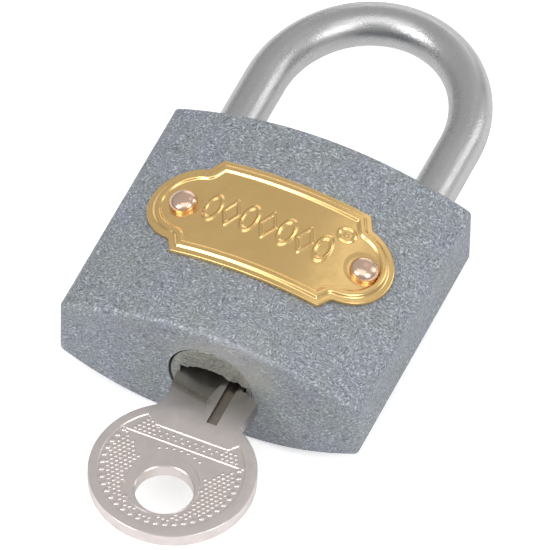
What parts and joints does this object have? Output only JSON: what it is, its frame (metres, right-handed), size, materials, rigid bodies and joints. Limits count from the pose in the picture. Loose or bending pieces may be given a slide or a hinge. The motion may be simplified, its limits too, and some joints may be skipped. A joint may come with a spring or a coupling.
{
  "type": "padlock",
  "caption": "Cast-iron pin-tumbler padlock with a plated steel shackle, a riveted brass badge plate and its key in the keyway.",
  "frame": {"origin": "middle of the flat strip along the back face, which it lies on", "axes": "+Z out of the front face with the badge plate, +Y from the key towards the shackle, +X towards the long leg"},
  "size_m": [0.038, 0.0851, 0.017],
  "materials": {
    "cast_iron": "speckled blue-grey hammered finish over cast iron",
    "plated_steel": "bright satin nickel plating",
    "zinc_alloy": "ground grey face, dull sides",
    "key_nickel": "satin nickel plating over a stamped blank",
    "steel": "plain drawn or turned steel",
    "brass": "satin gilt sheet with a bright pressed bead",
    "copper": "bright copper-coloured rivet",
    "pin_brass": "plain turned brass"
  },
  "bodies": {
    "case": {"lock_body": "cast_iron", "bolt_spring": "steel", "bolt_chamber_plug": "cast_iron", "shackle_spring": "steel", "shackle_retaining_pin": "steel", "plug_retaining_pin": "steel", "badge_plate": "brass", "rivet_left": "copper", "rivet_right": "copper", "driver_pin_1": "pin_brass", "pin_spring_1": "steel", "chamber_plug_1": "cast_iron", "driver_pin_2": "pin_brass", "pin_spring_2": "steel", "chamber_plug_2": "cast_iron", "driver_pin_3": "pin_brass", "pin_spring_3": "steel", "chamber_plug_3": "cast_iron", "driver_pin_4": "pin_brass", "pin_spring_4": "steel", "chamber_plug_4": "cast_iron", "driver_pin_5": "pin_brass", "pin_spring_5": "steel", "chamber_plug_5": "cast_iron"},
    "cylinder": {"cylinder_plug": "zinc_alloy", "key_pin_1": "pin_brass", "key_pin_2": "pin_brass", "key_pin_3": "pin_brass", "key_pin_4": "pin_brass", "key_pin_5": "pin_brass"},
    "bolt": {"locking_bolt": "steel"},
    "shackle": {"shackle": "plated_steel"},
    "key": {"key": "key_nickel"}
  },
  "joints": [
    {"name": "key_turn", "type": "hinge", "parent": "case", "child": "cylinder", "pos_m": [0.0004, 0, 0.0081], "axis": [0, 1, 0], "range_deg": [0, 120]},
    {"name": "bolt_slide", "type": "slide", "parent": "case", "child": "bolt", "axis": [1, 0, 0], "range_m": [0, 0.00381], "deforming": ["bolt_spring"]},
    {"name": "shackle_lift", "type": "slide", "parent": "case", "child": "shackle", "axis": [0, 1, 0], "range_m": [0, 0.0087], "deforming": ["shackle_spring"]},
    {"name": "key_withdraw", "type": "slide", "parent": "cylinder", "child": "key", "axis": [0, -1, 0], "range_m": [0, 0.025]}
  ],
  "couplings": [
    {"joint": "bolt_slide", "follows": "key_turn", "m_per_rad": 0.0018194},
    {"joint": "shackle_lift", "follows": "key_turn", "m_per_rad": 0.0041539}
  ]
}
